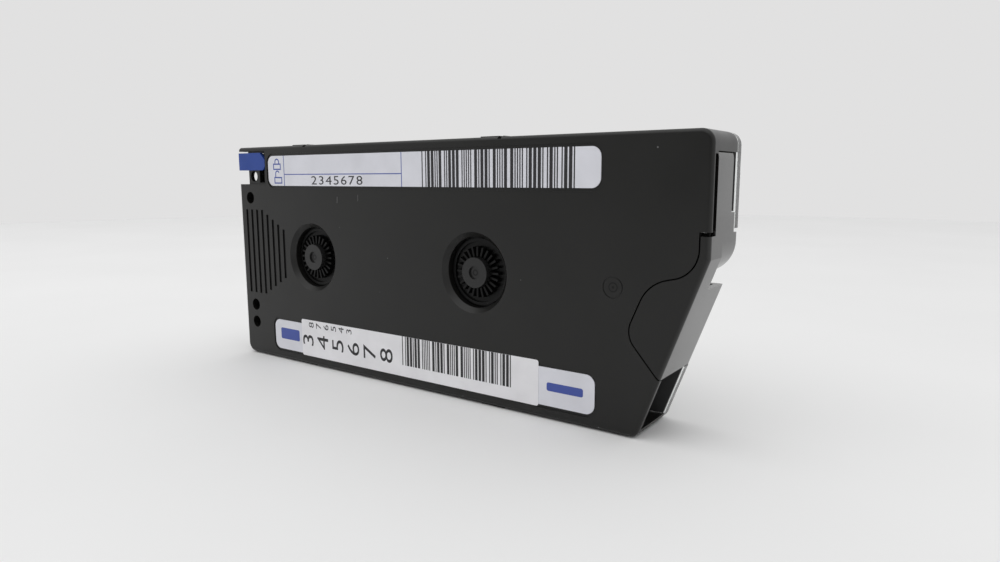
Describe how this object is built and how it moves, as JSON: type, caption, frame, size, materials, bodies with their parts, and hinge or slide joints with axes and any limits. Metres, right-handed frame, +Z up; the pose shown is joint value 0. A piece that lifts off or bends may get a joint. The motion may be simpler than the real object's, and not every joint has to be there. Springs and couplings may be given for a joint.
{
  "type": "data tape cartridge",
  "caption": "Flat two-reel cartridge for computer data tape: dark moulded shell, clear back plate, sprung door over the tape access, blue write-protect slider.",
  "frame": {"origin": "on the plane of the feet, under the middle of the length and of the thickness", "axes": "+X along the length to the door end, +Y through the thickness from the labelled face to the clear back, +Z up from the long lower edge"},
  "size_m": [0.1484, 0.0176, 0.0645],
  "materials": {
    "housing": "moulded with a fine matt grain",
    "clear_cover": "clear, smooth",
    "blue_slider": "moulded, satin",
    "steel": "turned, fine",
    "spring_steel": "drawn wire",
    "tape": "smooth coated film",
    "reel_plastic": "moulded, satin",
    "brake_plastic": "moulded, satin",
    "roller_plastic": "moulded, smooth",
    "label_stock": "coated label film, printed",
    "sticker_stock": "paper label, printed"
  },
  "bodies": {
    "shell": {"front_shell": "housing", "rear_cover": "clear_cover", "door_pivot_pin": "steel", "door_spring": "spring_steel", "top_guide_post": "steel", "tape_span": "tape", "cover_screws": "steel", "corner_roller_pin": "steel", "upper_roller_pin": "steel", "lower_roller_pin": "steel", "top_label": "label_stock", "lower_label": "label_stock", "volume_sticker": "sticker_stock", "supply_brake_spring": "spring_steel", "takeup_brake_spring": "spring_steel"},
    "door": {"door": "housing"},
    "write_protect_slider": {"write_protect_slider": "blue_slider"},
    "supply_reel": {"supply_reel_hub": "reel_plastic", "supply_reel_flange": "reel_plastic", "supply_tape_pack": "tape"},
    "supply_brake": {"supply_brake_button": "brake_plastic"},
    "takeup_reel": {"takeup_reel_hub": "reel_plastic", "takeup_reel_flange": "reel_plastic", "takeup_tape_pack": "tape"},
    "takeup_brake": {"takeup_brake_button": "brake_plastic"},
    "corner_roller": {"corner_roller": "roller_plastic"},
    "upper_roller": {"upper_roller": "roller_plastic"},
    "lower_roller": {"lower_roller": "roller_plastic"}
  },
  "joints": [
    {"name": "door_hinge", "type": "hinge", "parent": "shell", "child": "door", "pos_m": [0.07105, 0, 0.05865], "axis": [0, -1, 0], "range_deg": [0, 45], "stiffness_Nm_per_rad": 0.004, "springref_deg": -51.57},
    {"name": "write_protect_slide", "type": "slide", "parent": "shell", "child": "write_protect_slider", "axis": [0, 0, -1], "range_m": [0, 0.004]},
    {"name": "supply_reel_spin", "type": "hinge", "parent": "shell", "child": "supply_reel", "pos_m": [-0.04145, 0, 0.03242], "axis": [0, 1, 0], "continuous": true},
    {"name": "takeup_reel_spin", "type": "hinge", "parent": "shell", "child": "takeup_reel", "pos_m": [0.01705, 0, 0.03242], "axis": [0, 1, 0], "continuous": true},
    {"name": "supply_brake_press", "type": "slide", "parent": "shell", "child": "supply_brake", "axis": [0, 1, 0], "range_m": [0, 0.0014], "stiffness_N_per_m": 200, "springref_m": -0.003, "deforming": ["supply_brake_spring"]},
    {"name": "takeup_brake_press", "type": "slide", "parent": "shell", "child": "takeup_brake", "axis": [0, 1, 0], "range_m": [0, 0.0014], "stiffness_N_per_m": 200, "springref_m": -0.003, "deforming": ["takeup_brake_spring"]},
    {"name": "corner_roller_spin", "type": "hinge", "parent": "shell", "child": "corner_roller", "pos_m": [0.06325, 0, 0.05815], "axis": [0, 1, 0], "continuous": true},
    {"name": "upper_roller_spin", "type": "hinge", "parent": "shell", "child": "upper_roller", "pos_m": [0.06275, 0, 0.04155], "axis": [0, 1, 0], "continuous": true},
    {"name": "lower_roller_spin", "type": "hinge", "parent": "shell", "child": "lower_roller", "pos_m": [0.05025, 0, 0.00785], "axis": [0, 1, 0], "continuous": true}
  ],
  "couplings": [
    {"joint": "takeup_reel_spin", "follows": "supply_reel_spin", "ratio": 1},
    {"joint": "corner_roller_spin", "follows": "supply_reel_spin", "ratio": 6.34},
    {"joint": "upper_roller_spin", "follows": "supply_reel_spin", "ratio": 6.34},
    {"joint": "lower_roller_spin", "follows": "supply_reel_spin", "ratio": 6.34}
  ]
}
